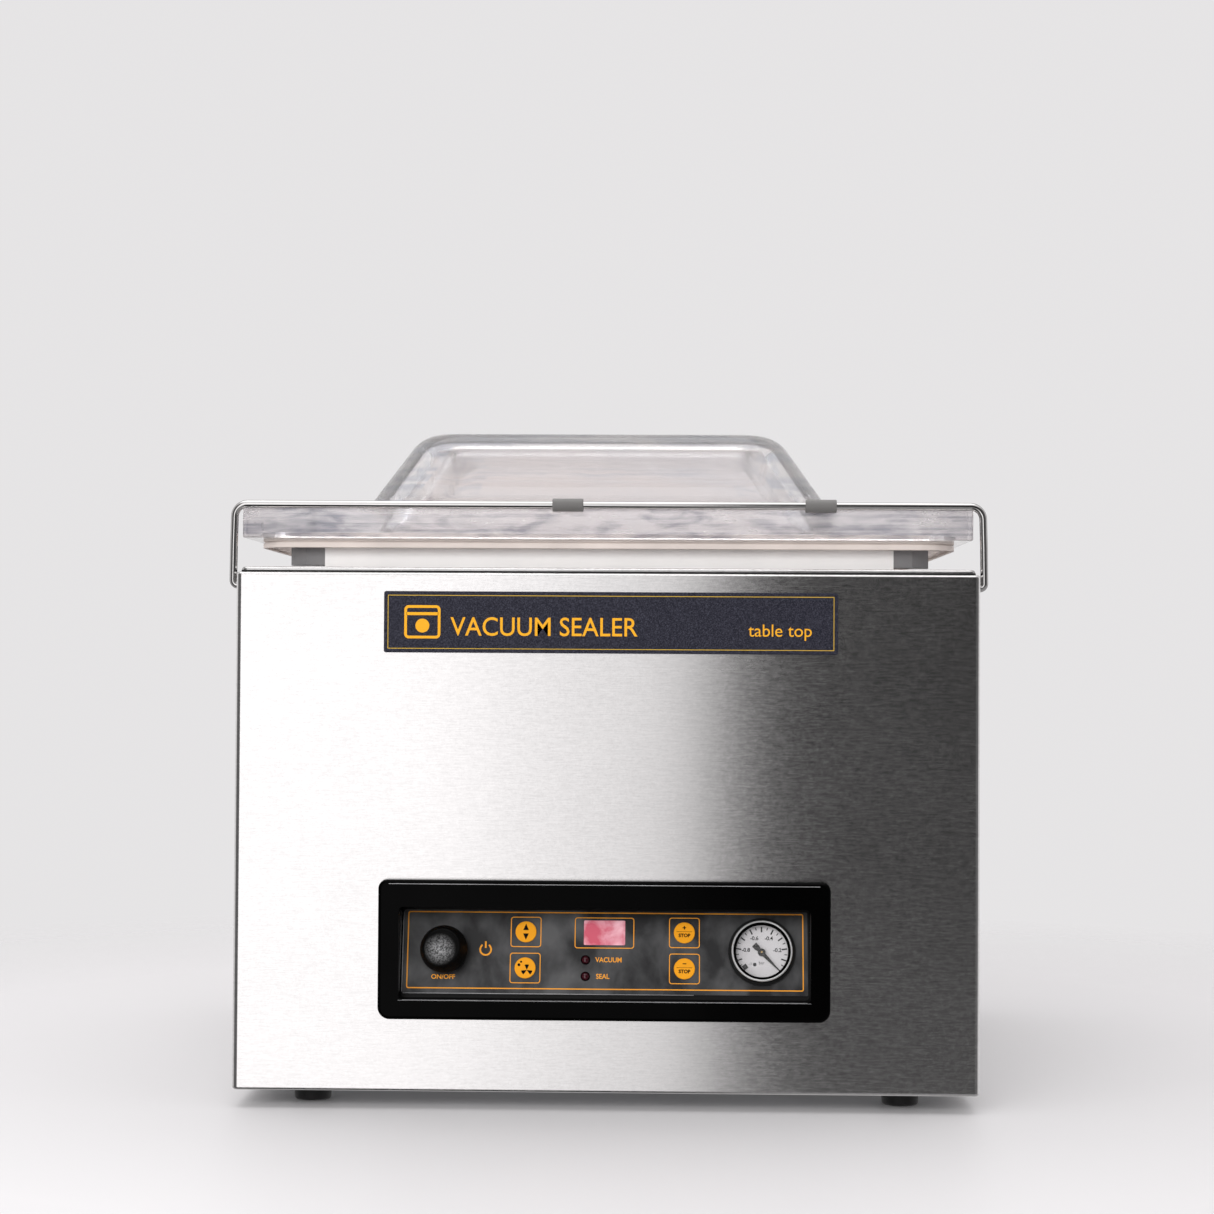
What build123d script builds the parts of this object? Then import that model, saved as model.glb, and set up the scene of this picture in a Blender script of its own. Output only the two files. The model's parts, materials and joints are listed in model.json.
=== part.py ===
from build123d import *
import math
import os

os.makedirs("parts", exist_ok=True)

# A table-top vacuum chamber sealer. Millimetres, X to the right, -Y to the front, Z up.
# The origin is on the floor, under the middle of the machine.

# ---- housing ----
BODY_W = 493.0
FRONT_Y = -252.0
REAR_Y = 252.0
FOOT_H = 12.0
SHELL_TOP = 354.5
SHEET = 1.5
FLANGE = 14.5

# ---- work deck and chamber ----
DECK_TOP = 358.2
DECK_HALF_W = 243.5
CHAMBER_X = 220.0
CHAMBER_Y0 = -220.0
CHAMBER_Y1 = 190.0
CHAMBER_FLOOR = 273.0

# ---- lid, shown raised on its sprung hinge ----
LID_X0 = -245.0
LID_X1 = 243.4
LID_Y0 = -240.0
LID_Y1 = 212.0
LID_Z0 = 377.8
LID_T = 22.0
DOME_TOP = 455.0
DOME_WALL = 11.0
DOME_X = -8.4
DOME_Y = -14.5
DOME_W = 322.0
DOME_D = 388.0
DOME_LEAN = 36.0
DOME_CORNER = 36.0
GASKET_X0 = -235.0
GASKET_X1 = 233.4
LID_DROP = 13.2
GASKET_LIP = 371.8

# ---- rear hinge ----
HINGE_Y = 256.5
HINGE_Z = 376.0
SHAFT_R = 5.0
BORE_R = 5.05
BRACKET_X = 150.0

# ---- locking bail ----
WIRE_R = 2.5
BAIL_Y = -241.0
BAIL_Z = 346.0
BAIL_BAR_Y = -245.0
BAIL_BAR_Z = 400.0

# ---- seal bar and counter bar ----
BAR_Y = -207.0
SEAL_TOP = 331.0
COUNTER_BOTTOM = 352.0
LIFT_X = 150.0

# ---- control panel: a plane leaning back behind the black bezel ----
TILT = 14.0
PANEL = Plane(
    origin=(-1.3, -244.0, 76.0),
    x_dir=(1, 0, 0),
    z_dir=(0, -math.cos(math.radians(TILT)), math.sin(math.radians(TILT))),
)
KNOB = (-105.5, 27.7)
GAUGE = (105.1, 28.8)
KEYS = {
    "key_up_down": (-51.8, 40.9),
    "key_program": (-52.0, 16.9),
    "key_plus": (53.7, 41.1),
    "key_minus": (53.8, 17.2),
}
LEDS = [(-11.9, 22.6), (-11.9, 11.7)]
DISPLAY = (-13.2, 14.3, 32.5, 48.9)

MID = (Align.CENTER, Align.CENTER, Align.MIN)


def block(x0, x1, y0, y1, z0, z1):
    """A box between two corners."""
    centre = Pos((x0 + x1) / 2, (y0 + y1) / 2, (z0 + z1) / 2)
    return centre * Box(x1 - x0, y1 - y0, z1 - z0)


def rounded(x0, x1, y0, y1, z0, z1, r, axis=Axis.Z):
    """A box with its edges along one axis rounded."""
    body = block(x0, x1, y0, y1, z0, z1)
    return fillet(body.edges().filter_by(axis), r)


def ring(x0, x1, y0, y1, z0, z1, r, width):
    """A rectangular ring with rounded corners."""
    outer = rounded(x0, x1, y0, y1, z0, z1, r)
    hole = rounded(x0 + width, x1 - width, y0 + width, y1 - width, z0 - 1, z1 + 1, max(r - width, 0.5))
    return outer - hole


def rod(r, length, start, along):
    """A round bar from a start point along a direction."""
    return Plane(origin=start, z_dir=along) * Cylinder(r, length, align=MID)


def on_panel(u, v, h0, h1, r):
    """A round disc standing on the leaning panel between two heights."""
    return PANEL * Pos(u, v, h0) * Cylinder(r, h1 - h0, align=MID)


def panel_block(u0, u1, v0, v1, h0, h1, r=0.0):
    """A box standing on the leaning panel between two heights."""
    body = block(u0, u1, v0, v1, h0, h1)
    if r > 0:
        body = fillet(body.edges().filter_by(Axis.Z), r)
    return PANEL * body


def coil(radius, wire, pitch, height, start):
    """A coil spring standing on a start point."""
    path = Helix(pitch=pitch, height=height - 2 * wire, radius=radius)
    section = Plane(origin=path @ 0, z_dir=path % 0) * Circle(wire)
    return Pos(*start) * Pos(0, 0, wire) * sweep(section, path=path)


def tube(points, r, bend, bore=0.0):
    """A round hose or wire through a list of points with rounded bends."""
    path = FilletPolyline(*points, radius=bend)
    place = Plane(origin=path @ 0, z_dir=path % 0)
    body = sweep(place * Circle(r), path=path)
    if bore > 0:
        body -= sweep(place * Circle(bore), path=path)
    return body


def save(node, shape):
    """Write one named piece."""
    export_step(Compound(children=shape.solids()), f"parts/{node}.step")


HALF = BODY_W / 2

# ---------------------------------------------------------------- housing
shell = rounded(-HALF, HALF, FRONT_Y, REAR_Y - SHEET, FOOT_H, SHELL_TOP, 4.0)
shell = fillet(shell.edges().group_by(Axis.Z)[0] + shell.edges().group_by(Axis.Z)[-1], 2.0)
shell -= rounded(
    -HALF + SHEET, HALF - SHEET, FRONT_Y + SHEET, REAR_Y - 2 * SHEET,
    FOOT_H + SHEET, SHELL_TOP - SHEET, 2.5,
)
inset = HALF - FLANGE
shell -= block(-inset, inset, FRONT_Y + FLANGE, REAR_Y + 5, FOOT_H - 1, FOOT_H + 5)
shell -= block(-inset, inset, FRONT_Y + FLANGE, REAR_Y + 5, SHELL_TOP - 5, SHELL_TOP + 1)
shell -= block(-inset, inset, REAR_Y - 10, REAR_Y + 5, FOOT_H - 1, SHELL_TOP + 1)
shell -= block(-139.5, 139.0, FRONT_Y - 1, FRONT_Y + 3, 69.5, 137.5)
for side in (-1, 1):
    shell -= rod(WIRE_R + 0.06, 6, (side * (HALF - 4), BAIL_Y, BAIL_Z), (side, 0, 0))
SCREW_SPOTS = [(x, z) for x in (-239.0, 239.0) for z in (30.0, 135.0, 240.0, 338.0)]
for x, z in SCREW_SPOTS:
    shell -= rod(2.0, 5, (x, REAR_Y - 5, z), (0, 1, 0))
save("housing_shell", shell)

base = rounded(-244.5, 244.5, -250.0, 248.5, 13.5, 15.5, 3.0)
FEET = [(x, y) for x in (-198.0, 198.0) for y in (-210.0, 210.0)]
for x, y in FEET:
    base -= rod(2.6, 6, (x, y, 12), (0, 0, 1))
for i in range(14):
    base -= rounded(20 + 12 * i, 25 + 12 * i, -150, -90, 12, 17, 2.4)
save("base_plate", base)

rear = block(-HALF, HALF, REAR_Y - SHEET, REAR_Y, FOOT_H, SHELL_TOP)
rear = fillet(rear.edges().filter_by(Axis.Y), 1.5)
for row in range(3):
    for i in range(16):
        x = -60 + 15 * i
        rear -= rounded(x, x + 6, REAR_Y - 3, REAR_Y + 1, 110 + 60 * row, 158 + 60 * row, 2.9, Axis.Y)
rear -= block(-214.3, -185.7, REAR_Y - 3, REAR_Y + 1, 50.0, 70.4)
rear -= rod(12.0, 6, (-194, REAR_Y - 4, 200), (0, 1, 0))
for x in (-BRACKET_X, BRACKET_X):
    for z in (300, 335):
        rear -= rod(2.55, 6, (x, REAR_Y - 4, z), (0, 1, 0))
for x, z in SCREW_SPOTS:
    rear -= rod(2.0, 6, (x, REAR_Y - 4, z), (0, 1, 0))
save("rear_panel", rear)

screws = []
for x, z in SCREW_SPOTS:
    head = rod(3.8, 2.2, (x, REAR_Y, z), (0, 1, 0))
    head = fillet(head.edges().group_by(Axis.Y)[-1], 1.2)
    head -= Plane(origin=(x, REAR_Y + 1.0, z), z_dir=(0, 1, 0)) * extrude(RegularPolygon(1.3, 6), 3)
    screws.append(head + rod(1.9, 8, (x, REAR_Y - 8, z), (0, 1, 0)))
save("panel_screws", Compound(children=screws))

feet = []
foot_screws = []
for x, y in FEET:
    foot = Pos(x, y, 0) * Cone(12.2, 13.2, 13.5, align=MID)
    foot = fillet(foot.edges().group_by(Axis.Z)[0], 1.8)
    foot -= rod(6.0, 7.0, (x, y, -1), (0, 0, 1))
    foot -= rod(2.6, 20, (x, y, -1), (0, 0, 1))
    feet.append(foot)
    screw = rod(5.0, 3.0, (x, y, 3.0), (0, 0, 1)) + rod(2.5, 16.0, (x, y, 3.0), (0, 0, 1))
    screw -= block(x - 3.5, x + 3.5, y - 0.6, y + 0.6, 2.0, 4.2)
    foot_screws.append(screw)
    feet[-1] -= rod(5.2, 3.2, (x, y, 2.9), (0, 0, 1))
save("rubber_feet", Compound(children=feet))
nuts = []
for x, y in FEET:
    nut = Pos(x, y, 15.5) * extrude(RegularPolygon(4.6, 6), 4)
    nuts.append(nut - rod(2.5, 10, (x, y, 12), (0, 0, 1)))
save("foot_screws", Compound(children=foot_screws + nuts))

# ---------------------------------------------------------------- work deck and chamber
deck = rounded(-DECK_HALF_W, DECK_HALF_W, -249.0, 249.0, SHELL_TOP, DECK_TOP, 4.0)
deck = fillet(deck.edges().group_by(Axis.Z)[-1], 2.2)
deck -= rounded(-242.0, 242.0, -247.5, 247.5, SHELL_TOP - 1, DECK_TOP - SHEET, 2.5)
tub = rounded(-CHAMBER_X - SHEET, CHAMBER_X + SHEET, CHAMBER_Y0 - SHEET, CHAMBER_Y1 + SHEET,
              CHAMBER_FLOOR - SHEET, DECK_TOP - 0.5, 26.5)
tub = fillet(tub.edges().group_by(Axis.Z)[0], 12.0)
hollow = rounded(-CHAMBER_X, CHAMBER_X, CHAMBER_Y0, CHAMBER_Y1, CHAMBER_FLOOR, DECK_TOP + 5, 25.0)
hollow = fillet(hollow.edges().group_by(Axis.Z)[0], 10.5)
deck = deck + tub - hollow
deck -= rod(8.0, 10, (60, CHAMBER_Y1 - 4, 318), (0, 1, 0))
deck -= rod(4.0, 10, (-40, CHAMBER_Y1 - 4, 318), (0, 1, 0))
for side in (-1, 1):
    deck -= rod(7.0, 10, (side * LIFT_X, BAR_Y, CHAMBER_FLOOR - 5), (0, 0, 1))
save("chamber_deck", deck)

plate = rounded(-205, 205, -185, 178, CHAMBER_FLOOR, CHAMBER_FLOOR + 12, 18)
plate = fillet(plate.edges().group_by(Axis.Z)[-1], 2.0)
save("filler_plate", plate)

# ---------------------------------------------------------------- nameplate
name = rounded(-147.6, 152.5, FRONT_Y - 1.5, FRONT_Y, 301.5, 342.1, 1.5, Axis.Y)
name = chamfer(name.edges().group_by(Axis.Y)[0], 0.4)
save("nameplate", name)

# ---------------------------------------------------------------- control panel
frame = block(-149.6, 148.2, FRONT_Y - 6.0, FRONT_Y, 60.0, 151.8)
verticals = frame.edges().filter_by(Axis.Y)
frame = fillet(verticals.group_by(Axis.Z)[0], 8.0)
frame = fillet(frame.edges().filter_by(Axis.Y).filter_by_position(Axis.Z, 151.5, 152.0), 6.0)
frame = fillet(frame.edges().group_by(Axis.Y)[0], 2.4)
frame += block(-137.8, 137.2, FRONT_Y, -222.0, 71.0, 136.0)
window = rounded(-135.8, 135.2, FRONT_Y - 10, -218.0, 73.0, 134.0, 3.0, Axis.Y)
frame -= window
frame -= PANEL * block(-170, 170, -20, 90, -60, -0.4)
save("control_bezel", frame)

carrier = panel_block(-137.0, 137.4, -5.5, 61.6, -2.9, -0.4, 2.0)
label = panel_block(-133.5, 135.5, 0.0, 55.4, -0.4, 0.0, 1.0)
cuts = [on_panel(*KNOB, -6, 3, 12.0), on_panel(*GAUGE, -6, 3, 20.3)]
cuts += [on_panel(*spot, -6, 3, 7.08) for spot in KEYS.values()]
cuts += [on_panel(*spot, -6, 3, 2.95) for spot in LEDS]
cuts.append(panel_block(*DISPLAY, -6, 3))
save("control_carrier", carrier - Compound(children=cuts))
save("control_label", label - Compound(children=cuts))

save("display_window", panel_block(*DISPLAY, -2.9, 0.3, 0.8))
save("status_leds", Compound(children=[on_panel(u, v, -6.0, 0.5, 2.9) for u, v in LEDS]))

board = panel_block(-72, 72, 2, 54, -16.0, -14.4)
for u, v in KEYS.values():
    board -= on_panel(u, v, -17, -13, 0.6)
save("control_board", board)
chips = [panel_block(-12.5, 13.6, 33.2, 48.2, -14.4, -3.2)]
chips += [panel_block(u - 3, u + 3, v - 3, v + 3, -14.4, -8.2) for u, v in KEYS.values()]
chips += [on_panel(u, v, -14.4, -6.0, 1.6) for u, v in LEDS]
chips += [panel_block(20, 40, 8, 22, -14.4, -11.0), panel_block(-38, -24, 8, 24, -14.4, -11.5)]
chips += [on_panel(31, 36, -14.4, -6.5, 5.0), panel_block(-8, 12, 3, 8, -24, -16.0)]
save("board_components", Compound(children=chips))

for node, (u, v) in KEYS.items():
    key = on_panel(u, v, -3.2, 0.9, 7.0)
    key = fillet(key.edges().filter_by(GeomType.CIRCLE).sort_by(Axis.Y)[:1], 0.4)
    key += on_panel(u, v, -7.4, -3.2, 1.5)
    save(node, key)

cap = on_panel(*KNOB, 7.0, 12.0, 15.7)
cap = fillet(cap.edges().filter_by(GeomType.CIRCLE), 2.0)
cap += PANEL * Pos(*KNOB, 11.0) * Cone(15.0, 11.9, 13.0, align=MID)
cap = fillet(cap.edges().filter_by(GeomType.CIRCLE).sort_by(Axis.Y)[:1], 0.8)
cap -= PANEL * Pos(*KNOB, 24.0 + 33.0) * Sphere(34.6)
knob = cap + on_panel(*KNOB, -18.0, 7.5, 6.0)
save("on_off_button", knob)
collar = on_panel(*KNOB, 0.0, 1.4, 14.6) + on_panel(*KNOB, -10.0, 0.0, 11.8)
collar += panel_block(KNOB[0] - 14, KNOB[0] + 14, KNOB[1] - 14, KNOB[1] + 14, -42, -10, 2.0)
collar -= on_panel(*KNOB, -26, 8, 6.05)
collar += panel_block(KNOB[0] - 8, KNOB[0] - 6, KNOB[1] - 3, KNOB[1] + 3, -50, -42)
collar += panel_block(KNOB[0] + 6, KNOB[0] + 8, KNOB[1] - 3, KNOB[1] + 3, -50, -42)
save("switch_body", collar)

case = on_panel(*GAUGE, 0.0, 2.2, 22.3) + on_panel(*GAUGE, -30.0, 0.0, 20.2)
case -= on_panel(*GAUGE, -12.0, 3.0, 18.6)
case += on_panel(*GAUGE, -44.0, -30.0, 4.5)
save("gauge_case", case)
bezel_ring = on_panel(*GAUGE, 2.2, 7.0, 20.3) - on_panel(*GAUGE, 2.0, 8.0, 18.3)
bezel_ring = fillet(bezel_ring.edges().filter_by(GeomType.CIRCLE).sort_by(Axis.Y)[:2], 0.8)
bezel_ring += on_panel(*GAUGE, -3.0, 2.2, 18.5) - on_panel(*GAUGE, -3.5, 3.0, 17.7)
save("gauge_ring", bezel_ring)
dial = on_panel(*GAUGE, -4.2, -3.2, 18.3) - on_panel(*GAUGE, -6, 0, 1.3)
save("gauge_dial", dial)
hub = on_panel(*GAUGE, -2.6, -0.4, 2.5) + on_panel(*GAUGE, -10.0, -2.6, 1.2)
blade = Polyline(
    (-7.2, -1.9), (-4.2, -1.9), (-2.0, -1.1), (2.0, -1.3), (15.0, -0.35),
    (15.0, 0.35), (2.0, 1.3), (-2.0, 1.1), (-4.2, 1.9), (-7.2, 1.9), close=True
)
needle = PANEL * Pos(*GAUGE, -1.8) * Rot(0, 0, -46) * extrude(make_face(blade), 0.5)
save("gauge_needle", hub + needle)
save("gauge_glass", on_panel(*GAUGE, 2.6, 4.4, 18.25))

# ---------------------------------------------------------------- seal bar and its lift
bar = block(-210, 210, BAR_Y - 8, BAR_Y + 8, 299.0, SEAL_TOP - 1.2)
bar = chamfer(bar.edges().filter_by(Axis.X), 0.8)
bar -= block(-211, 211, BAR_Y - 2.5, BAR_Y + 2.5, SEAL_TOP - 3.2, SEAL_TOP + 1)
for side in (-1, 1):
    bar -= rod(4.0, 12, (side * LIFT_X, BAR_Y, 298.0), (0, 0, 1))
save("seal_bar", bar)
wires = []
for y in (BAR_Y - 1.5, BAR_Y + 1.5):
    wires.append(block(-209, 209, y - 0.6, y + 0.6, SEAL_TOP - 3.2, SEAL_TOP - 0.6))
save("seal_wires", Compound(children=wires))
tape = block(-209, 209, BAR_Y - 7.6, BAR_Y + 7.6, SEAL_TOP - 1.2, SEAL_TOP - 0.9)
tape -= block(-215, 215, BAR_Y - 2.5, BAR_Y + 2.5, SEAL_TOP - 2, SEAL_TOP)
save("ptfe_tape", tape + block(-209, 209, BAR_Y - 7.6, BAR_Y + 7.6, SEAL_TOP - 0.6, SEAL_TOP - 0.3)
     + block(-209, 209, BAR_Y - 7.6, BAR_Y - 2.5, SEAL_TOP - 0.9, SEAL_TOP - 0.6)
     + block(-209, 209, BAR_Y + 2.5, BAR_Y + 7.6, SEAL_TOP - 0.9, SEAL_TOP - 0.6))
pistons = []
cylinders = []
for side in (-1, 1):
    x = side * LIFT_X
    piston = rod(3.95, 56, (x, BAR_Y, 250.0), (0, 0, 1)) + rod(11.95, 8, (x, BAR_Y, 242.0), (0, 0, 1))
    pistons.append(piston)
    body = rod(16, 45, (x, BAR_Y, 226.5), (0, 0, 1)) - rod(12, 34, (x, BAR_Y, 232.0), (0, 0, 1))
    body += rod(6.9, 3.5, (x, BAR_Y, 271.5), (0, 0, 1))
    body -= rod(4.0, 30, (x, BAR_Y, 260.0), (0, 0, 1))
    body += rod(4.0, 8, (x, BAR_Y, 218.5), (0, 0, 1))
    body -= rod(2.5, 18, (x, BAR_Y, 217.0), (0, 0, 1))
    cylinders.append(body)
save("lift_pistons", Compound(children=pistons))
save("lift_cylinders", Compound(children=cylinders))

# ---------------------------------------------------------------- vacuum pump and air lines
pump = rounded(-205, -40, -70, 90, 62, 210, 10)
pump = fillet(pump.edges().group_by(Axis.Z)[-1], 8)
for i in range(9):
    z = 84 + 13 * i
    pump += rounded(-209, -40, -74, 94, z, z + 4, 8)
pump += block(-200, -50, -60, 80, 48, 62)
pump += rod(22, 14, (-120, 10, 210), (0, 0, 1)) - rod(11, 16, (-120, 10, 212), (0, 0, 1))
pump -= rod(15.2, 8, (-120, -76, 84), (0, 1, 0))
pump += rod(26, 34, (-40, 10, 130), (1, 0, 0))
save("pump_body", pump)
mounts = []
for x in (-190, -60):
    for y in (-48, 68):
        foot = rod(12, 32.5, (x, y, 15.5), (0, 0, 1))
        waist = Pos(x, y, 32) * Torus(17, 8)
        mounts.append(foot - waist)
save("pump_mounts", Compound(children=mounts))

motor = rod(62, 120, (-6, 10, 130), (1, 0, 0))
for i in range(18):
    fin = Pos(54, 10, 130) * Rot(20 * i, 0, 0) * block(-52, 52, -1.5, 1.5, 60, 69)
    motor += fin
motor += block(10, 90, -20, 40, 190, 222) + block(10, 90, -40, 60, 48, 75)
motor -= rod(8.0, 20, (100, 10, 130), (1, 0, 0))
motor += rod(6.0, 34, (95, 10, 130), (1, 0, 0))
motor += rod(26, 22, (-6.0, 10, 130), (-1, 0, 0)) - rod(30, 30, (-6.0, 10, 130), (-1, 0, 0))
save("pump_motor", motor)
fan = rod(14, 14, (118, 10, 130), (1, 0, 0)) - rod(6.05, 20, (116, 10, 130), (1, 0, 0))
for i in range(8):
    fan += Pos(125, 10, 130) * Rot(45 * i, 0, 0) * Rot(0, 0, 25) * block(-1, 1, -8, 8, 12, 52)
save("motor_fan", fan)
cover = rod(68, 32, (114.5, 10, 130), (1, 0, 0)) - rod(66, 30, (114, 10, 130), (1, 0, 0))
for radius in (18, 28, 38, 48, 58):
    groove = rod(radius + 3, 6, (142, 10, 130), (1, 0, 0))
    cover -= groove - rod(radius - 3, 6, (142, 10, 130), (1, 0, 0))
cover += block(144, 146.5, 7, 13, 66, 194) + block(144, 146.5, -54, 74, 127, 133)
save("fan_cover", cover)
sight = rod(15.0, 6.0, (-120, -76.0, 84), (0, 1, 0)) + rod(18.0, 3.0, (-120, -77.0, 84), (0, 1, 0))
save("oil_sight_glass", sight)
canister = rod(30, 120, (-120, 150, 100), (0, 0, 1))
canister = fillet(canister.edges().filter_by(GeomType.CIRCLE), 6)
canister += rod(11.5, 86, (-120, 94.0, 130), (0, 1, 0))
canister += rod(11.8, 74, (-120, 150, 200), (-1, 0, 0)) + rod(11.8, 104, (-194, 148.0, 200), (0, 1, 0))
save("exhaust_filter", canister)

suction = [(-120, 10, 212.0), (-120, 10, 245), (-120, 214, 245), (10, 214, 245), (10, 214, 272)]
save("suction_hose", tube(suction, 10.9, 18, 7.5))
valve = rounded(-40, 90, 196, 232, 272, 292, 3) - rod(7.5, 12, (10, 214, 262), (0, 0, 1))
valve += rod(7.2, 12, (60, 214, 292), (0, 0, 1)) + rod(5.0, 12, (-20, 214, 292), (0, 0, 1))
save("valve_block", valve)
coils = []
for x in (-27, 20, 76):
    coils.append(rounded(x - 11, x + 11, 232, 246, 271, 293, 3, Axis.Y) + rod(4, 2, (x, 246, 282), (0, 1, 0)))
save("solenoid_coils", Compound(children=coils))
lead = tube([(60, 214, 304), (60, 214, 318), (60, 188.5, 318)], 7.2, 9.0, 5.0)
vent_points = [(-20, 214, 304), (-20, 214, 326), (-40, 206, 326), (-40, 206, 318), (-40, 189, 318)]
vent = tube(vent_points, 3.6, 3.8, 2.0)
save("chamber_hose", Compound(children=[lead, vent]))
GP = PANEL * Pos(*GAUGE, -44.0)
g0 = GP.position
gauge_line = [
    (g0.X, g0.Y, g0.Z), (g0.X, g0.Y + 20, g0.Z - 5), (g0.X, -150, 125), (230, -150, 125),
    (230, 214, 125), (230, 214, 282), (90, 214, 282),
]
save("gauge_tube", tube(gauge_line, 3.0, 9.0, 1.5))

core = block(130, 215, -60 - 120, -10 - 120, 15.5, 95)
core -= block(145, 162, -185, -125, 32, 78) + block(183, 200, -185, -125, 32, 78)
save("transformer_core", core)
winding = rounded(146, 199, -196, -114, 33, 77, 6) - block(161.9, 183.1, -181, -129, 30, 80)
save("transformer_windings", winding)

inlet = rounded(-216, -184, REAR_Y, REAR_Y + 3.0, 48, 72.4, 3.0, Axis.Y)
inlet += block(-214, -186, REAR_Y - 28, REAR_Y, 50.3, 70.1)
inlet -= rounded(-212.4, -187.6, REAR_Y - 22, REAR_Y + 5, 52.2, 68.2, 3.0, Axis.Y)
for x, z in ((-200, 63.5), (-207, 58.5), (-193, 58.5)):
    inlet += block(x - 1, x + 1, REAR_Y - 23, REAR_Y - 4, z - 2, z + 2)
save("power_inlet", inlet)

# ---------------------------------------------------------------- rear hinge
brackets = []
bolts = []
for side in (-1, 1):
    centre = side * BRACKET_X
    web = block(centre - 15, centre + 15, REAR_Y, REAR_Y + 2.5, 290, 345)
    for x in (centre - 15, centre + 12):
        web += block(x, x + 3, REAR_Y, 264.0, 290, 388) + block(x, x + 3, 246.0, 264.0, 359.5, 388)
    low = HINGE_Z - LID_DROP - 0.2
    slot = rod(BORE_R, 60, (centre - 30, HINGE_Y, HINGE_Z), (1, 0, 0))
    slot += rod(BORE_R, 60, (centre - 30, HINGE_Y, low), (1, 0, 0))
    slot += block(centre - 30, centre + 30, HINGE_Y - BORE_R, HINGE_Y + BORE_R, low, HINGE_Z)
    outer = centre + side * 15
    shelf = block(min(outer, outer + side * 14), max(outer, outer + side * 14), REAR_Y, 264.0, 329.0, 331.5)
    web = web - slot + shelf
    for z in (300, 335):
        web -= rod(2.6, 6, (centre, REAR_Y - 1, z), (0, 1, 0))
        bolt = rod(4.5, 3.0, (centre, REAR_Y + 2.5, z), (0, 1, 0))
        bolt += rod(2.5, 10, (centre, REAR_Y - 7.4, z), (0, 1, 0))
        socket = Plane(origin=(centre, REAR_Y + 4, z), z_dir=(0, 1, 0)) * extrude(RegularPolygon(2.2, 6), 3)
        bolts.append(bolt - socket)
    brackets.append(web)
save("hinge_brackets", Compound(children=brackets))
save("bracket_screws", Compound(children=bolts))
shaft = rod(SHAFT_R, 360, (-180, HINGE_Y, HINGE_Z), (1, 0, 0))
save("hinge_shaft", chamfer(shaft.edges().filter_by(GeomType.CIRCLE), 0.8))
springs = [coil(3.4, 0.6, 4.6, HINGE_Z - SHAFT_R - 331.5, (s * 172.0, HINGE_Y, 331.5)) for s in (-1, 1)]
save("lift_springs", Compound(children=springs))
arms = []
arm_screws = []
for side in (-1, 1):
    centre = side * BRACKET_X
    arm = rod(7.5, 22, (centre - 11, HINGE_Y, HINGE_Z), (1, 0, 0))
    arm += block(centre - 11, centre + 11, LID_Y1, HINGE_Y, 378.0, 383.5)
    arm += block(centre - 22, centre + 22, LID_Y1, LID_Y1 + 4, 378.0, 399.0)
    arm -= rod(BORE_R, 30, (centre - 15, HINGE_Y, HINGE_Z), (1, 0, 0))
    for x in (centre - 17, centre + 17):
        arm -= rod(2.6, 8, (x, LID_Y1 - 1, 389), (0, 1, 0))
        bolt = rod(4.5, 3.0, (x, LID_Y1 + 4, 389), (0, 1, 0)) + rod(2.5, 16, (x, LID_Y1 - 12, 389), (0, 1, 0))
        arm_screws.append(bolt)
    arms.append(arm)
save("hinge_arms", Compound(children=arms))
save("arm_screws", Compound(children=arm_screws))

# ---------------------------------------------------------------- clear lid
flange = block(LID_X0, LID_X1, LID_Y0, LID_Y1, LID_Z0, LID_Z0 + LID_T)
flange = chamfer(flange.edges().filter_by(Axis.Z), 4.0)
flange = fillet(flange.edges().group_by(Axis.Z)[-1], 1.5)


def dome_solid(grow, base_z, top_z, edge):
    """The pressed dome as a solid, grown or shrunk sideways."""
    width = DOME_W + 2 * grow
    depth = DOME_D + 2 * grow
    shrink = 2 * DOME_LEAN
    low = Plane(origin=(DOME_X, DOME_Y, base_z)) * RectangleRounded(width, depth, DOME_CORNER + grow)
    high = Plane(origin=(DOME_X, DOME_Y, top_z)) * RectangleRounded(
        width - shrink, depth - shrink, DOME_CORNER + grow)
    body = loft([low, high])
    return fillet(body.edges().group_by(Axis.Z)[-1], edge)


lid = flange + dome_solid(0, LID_Z0 + LID_T - 0.5, DOME_TOP, 26.0)
lid -= dome_solid(-DOME_WALL, LID_Z0 + 8.0, DOME_TOP - DOME_WALL, 15.0)
mouth = Plane(origin=(DOME_X, DOME_Y, LID_Z0 - 1)) * RectangleRounded(
    DOME_W - 2 * DOME_WALL, DOME_D - 2 * DOME_WALL, DOME_CORNER - DOME_WALL)
lid -= extrude(mouth, 12.0)
lid -= ring(GASKET_X0 - 0.4, GASKET_X1 + 0.4, -232.4, 202.4, LID_Z0 - 1, LID_Z0 + 4.2, 24.4, 9.8)
for side in (-1, 1):
    for x in (side * BRACKET_X - 17, side * BRACKET_X + 17):
        lid -= rod(2.5, 14, (x, LID_Y1 - 12.2, 389), (0, 1, 0))
save("lid_cover", lid)

gasket = ring(GASKET_X0, GASKET_X1, -232, 202, GASKET_LIP + 2.2, LID_Z0 + 4.0, 24, 9.0)
gasket += ring(GASKET_X0, GASKET_X1, -232, 202, GASKET_LIP, GASKET_LIP + 2.3, 24, 2.6)
gasket += ring(GASKET_X0 + 6.4, GASKET_X1 - 6.4, -225.6, 195.6, GASKET_LIP, GASKET_LIP + 2.3, 17.6, 2.6)
gasket -= ring(GASKET_X0 - 9, GASKET_X1 + 9, -241, 211, GASKET_LIP + 3.4, GASKET_LIP + 4.4, 33, 10.2)
save("lid_gasket", gasket)

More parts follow.
